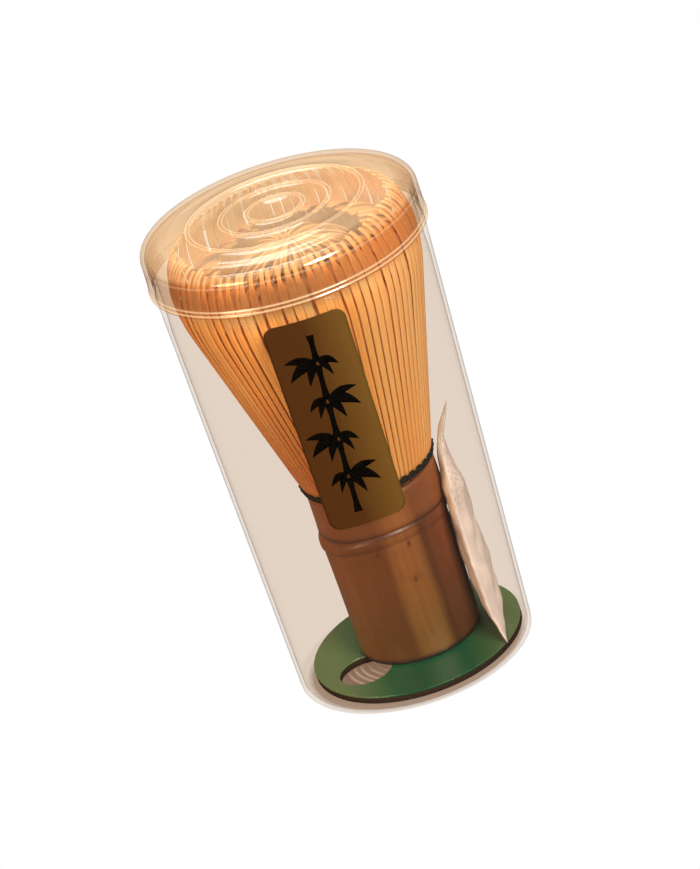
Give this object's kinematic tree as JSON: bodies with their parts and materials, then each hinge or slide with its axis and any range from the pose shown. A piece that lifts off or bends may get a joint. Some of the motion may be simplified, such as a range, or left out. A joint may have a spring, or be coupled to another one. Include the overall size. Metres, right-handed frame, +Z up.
{
  "type": "bamboo tea whisk in a canister",
  "caption": "Bamboo matcha whisk with a bound crown of split tines, standing on a green pad in a clear tapered canister with a press-on lid, a label and a desiccant sachet.",
  "frame": {"origin": "centre of the underside of the canister", "axes": "+Z up along the canister's axis; -Y is the front, where the label is"},
  "size_m": [0.0648, 0.0648, 0.1159],
  "materials": {
    "clear_plastic": "clear moulded plastic with a faint warm tint",
    "lid_plastic": "clear moulded plastic, slightly warmer than the tube",
    "label_foil": "satin bronze foil paper sticker with black brush strokes",
    "culm_bamboo": "smooth brown bamboo skin with fine grain",
    "tine_bamboo": "split golden bamboo, paler at the curled tips",
    "inner_tine_bamboo": "split inner bamboo, pale cream at the ends",
    "black_thread": "waxed black cotton thread",
    "green_card": "green laminated card with a sheen",
    "brown_board": "dark brown board edge",
    "sachet_paper": "crumpled white fibre paper",
    "sachet_film": "thin crinkled clear film",
    "silica_gel": "pale translucent beads"
  },
  "bodies": {
    "canister": {"tube": "clear_plastic", "label": "label_foil"},
    "lid": {"lid": "lid_plastic"},
    "whisk": {"handle": "culm_bamboo", "inner_tines": "inner_tine_bamboo", "binding_thread": "black_thread", "outer_tines_01": "tine_bamboo", "outer_tines_02": "tine_bamboo", "outer_tines_03": "tine_bamboo", "outer_tines_04": "tine_bamboo", "outer_tines_05": "tine_bamboo", "outer_tines_06": "tine_bamboo", "outer_tines_07": "tine_bamboo", "outer_tines_08": "tine_bamboo", "outer_tines_09": "tine_bamboo", "outer_tines_10": "tine_bamboo", "outer_tines_11": "tine_bamboo", "outer_tines_12": "tine_bamboo", "outer_tines_13": "tine_bamboo", "outer_tines_14": "tine_bamboo", "outer_tines_15": "tine_bamboo", "outer_tines_16": "tine_bamboo"},
    "sachet": {"sachet_paper": "sachet_paper", "sachet_film": "sachet_film", "silica_gel": "silica_gel"},
    "pad": {"green_card": "green_card", "backing_board": "brown_board"}
  },
  "joints": [
    {"name": "lid_lift", "type": "slide", "parent": "canister", "child": "lid", "axis": [0, 0, 1], "range_m": [0, 0.3]},
    {"name": "whisk_lift", "type": "slide", "parent": "canister", "child": "whisk", "axis": [0, 0, 1], "range_m": [0, 0.2]},
    {"name": "sachet_lift", "type": "slide", "parent": "canister", "child": "sachet", "axis": [0, 0, 1], "range_m": [0, 0.13]},
    {"name": "pad_lift", "type": "slide", "parent": "canister", "child": "pad", "axis": [0, 0, 1], "range_m": [0, 0.12]}
  ],
  "couplings": [
    {"joint": "whisk_lift", "follows": "lid_lift", "ratio": 0.64},
    {"joint": "sachet_lift", "follows": "lid_lift", "ratio": 0.42},
    {"joint": "pad_lift", "follows": "lid_lift", "ratio": 0.385}
  ]
}
